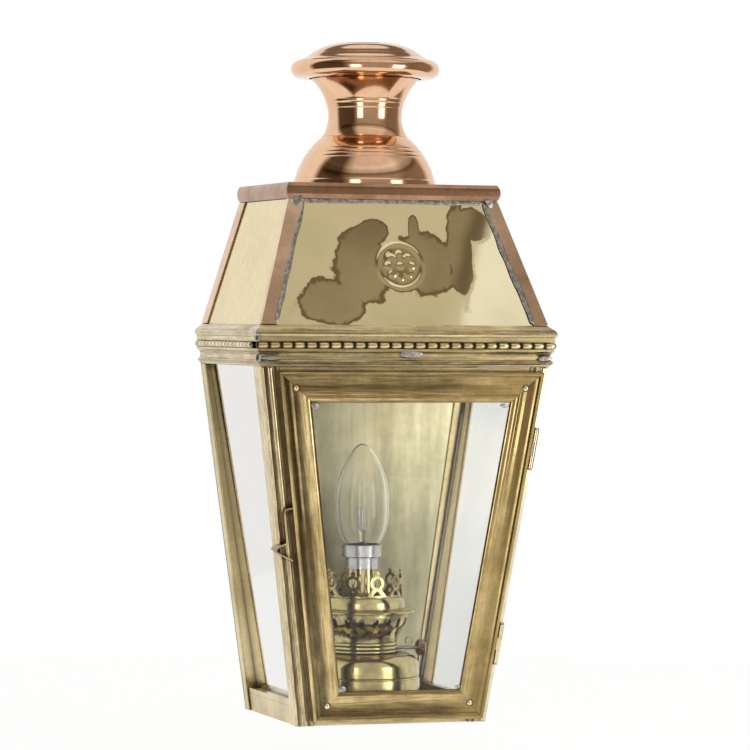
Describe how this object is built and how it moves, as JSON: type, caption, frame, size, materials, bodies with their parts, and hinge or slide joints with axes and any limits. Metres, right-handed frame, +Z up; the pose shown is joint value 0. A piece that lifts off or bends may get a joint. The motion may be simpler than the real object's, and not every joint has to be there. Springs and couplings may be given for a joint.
{
  "type": "outdoor wall lantern",
  "caption": "Tapered brass wall lantern with a hinged glazed door, beaded cornice, copper-trimmed roof and chimney, and an electric bulb on a mock oil lamp.",
  "frame": {"origin": "on the wall face of the back plate, on the centre line, 150 mm above the underside of the floor", "axes": "+X to the lantern's right as seen from the front, -Y towards the viewer, +Z up"},
  "size_m": [0.2052, 0.1444, 0.4443],
  "materials": {
    "brass": "polished, slightly tarnished sheet brass",
    "roof_brass": "polished sheet brass",
    "copper": "polished copper sheet",
    "clear_glass": "clear window glass",
    "bulb_glass": "clear blown glass",
    "nickel": "nickel plate",
    "steel": "bare steel",
    "rubber": "moulded",
    "ceramic": "unglazed"
  },
  "bodies": {
    "lantern": {"back_plate": "brass", "floor_tray": "brass", "post_front_left": "brass", "post_front_right": "brass", "post_back_left": "brass", "post_back_right": "brass", "top_frame": "brass", "door_header": "brass", "pane_stop_left": "brass", "pane_stop_right": "brass", "cornice_front": "brass", "cornice_left": "brass", "cornice_right": "brass", "beads_front": "brass", "beads_left": "brass", "beads_right": "brass", "hinge_leaves_post": "brass", "lamp_drum": "brass", "burner_ring": "brass", "burner_basket": "brass", "burner_flange": "brass", "burner_crown": "brass", "holder_tube": "brass", "contact_plungers": "brass", "roof_front": "roof_brass", "roof_left": "roof_brass", "roof_right": "roof_brass", "hip_left": "copper", "hip_right": "copper", "wall_strip_left": "copper", "wall_strip_right": "copper", "top_tray": "copper", "chimney_skirt": "copper", "chimney_neck": "copper", "chimney_cap": "copper", "cap_stays": "copper", "pane_left": "clear_glass", "pane_right": "clear_glass", "holder_cup": "nickel", "holder_ring": "nickel", "hinge_pins": "steel", "cable_grommet": "rubber", "contact_block": "ceramic"},
    "door": {"door_stile_left": "brass", "door_stile_right": "brass", "door_rail_top": "brass", "door_rail_bottom": "brass", "door_glass": "clear_glass", "door_glass_clips": "brass", "door_screws": "brass", "hinge_leaves_door": "brass"},
    "catch": {"door_catch": "brass"},
    "wick_winder": {"wick_shaft": "steel", "wick_knob": "copper"},
    "bulb": {"bulb_glass": "bulb_glass", "bulb_cap": "nickel", "bulb_stem": "bulb_glass", "bulb_filament": "steel"}
  },
  "joints": [
    {"name": "door_hinge", "type": "hinge", "parent": "lantern", "child": "door", "pos_m": [0.07031, -0.12268, -0.09843], "axis": [0.1392, -0.1061, 0.9846], "range_deg": [0, 105]},
    {"name": "catch_flex", "type": "hinge", "parent": "door", "child": "catch", "pos_m": [-0.07413, -0.13209, -0.00828], "axis": [0, 0.9942, 0.1071], "range_deg": [0, 6], "stiffness_Nm_per_rad": 0.5},
    {"name": "wick_turn", "type": "hinge", "parent": "lantern", "child": "wick_winder", "pos_m": [0, -0.05, -0.1062], "axis": [1, 0, 0], "continuous": true},
    {"name": "bulb_twist", "type": "hinge", "parent": "lantern", "child": "bulb", "pos_m": [0, -0.05, -0.0453], "axis": [0, 0, 1], "range_deg": [0, 20]}
  ]
}
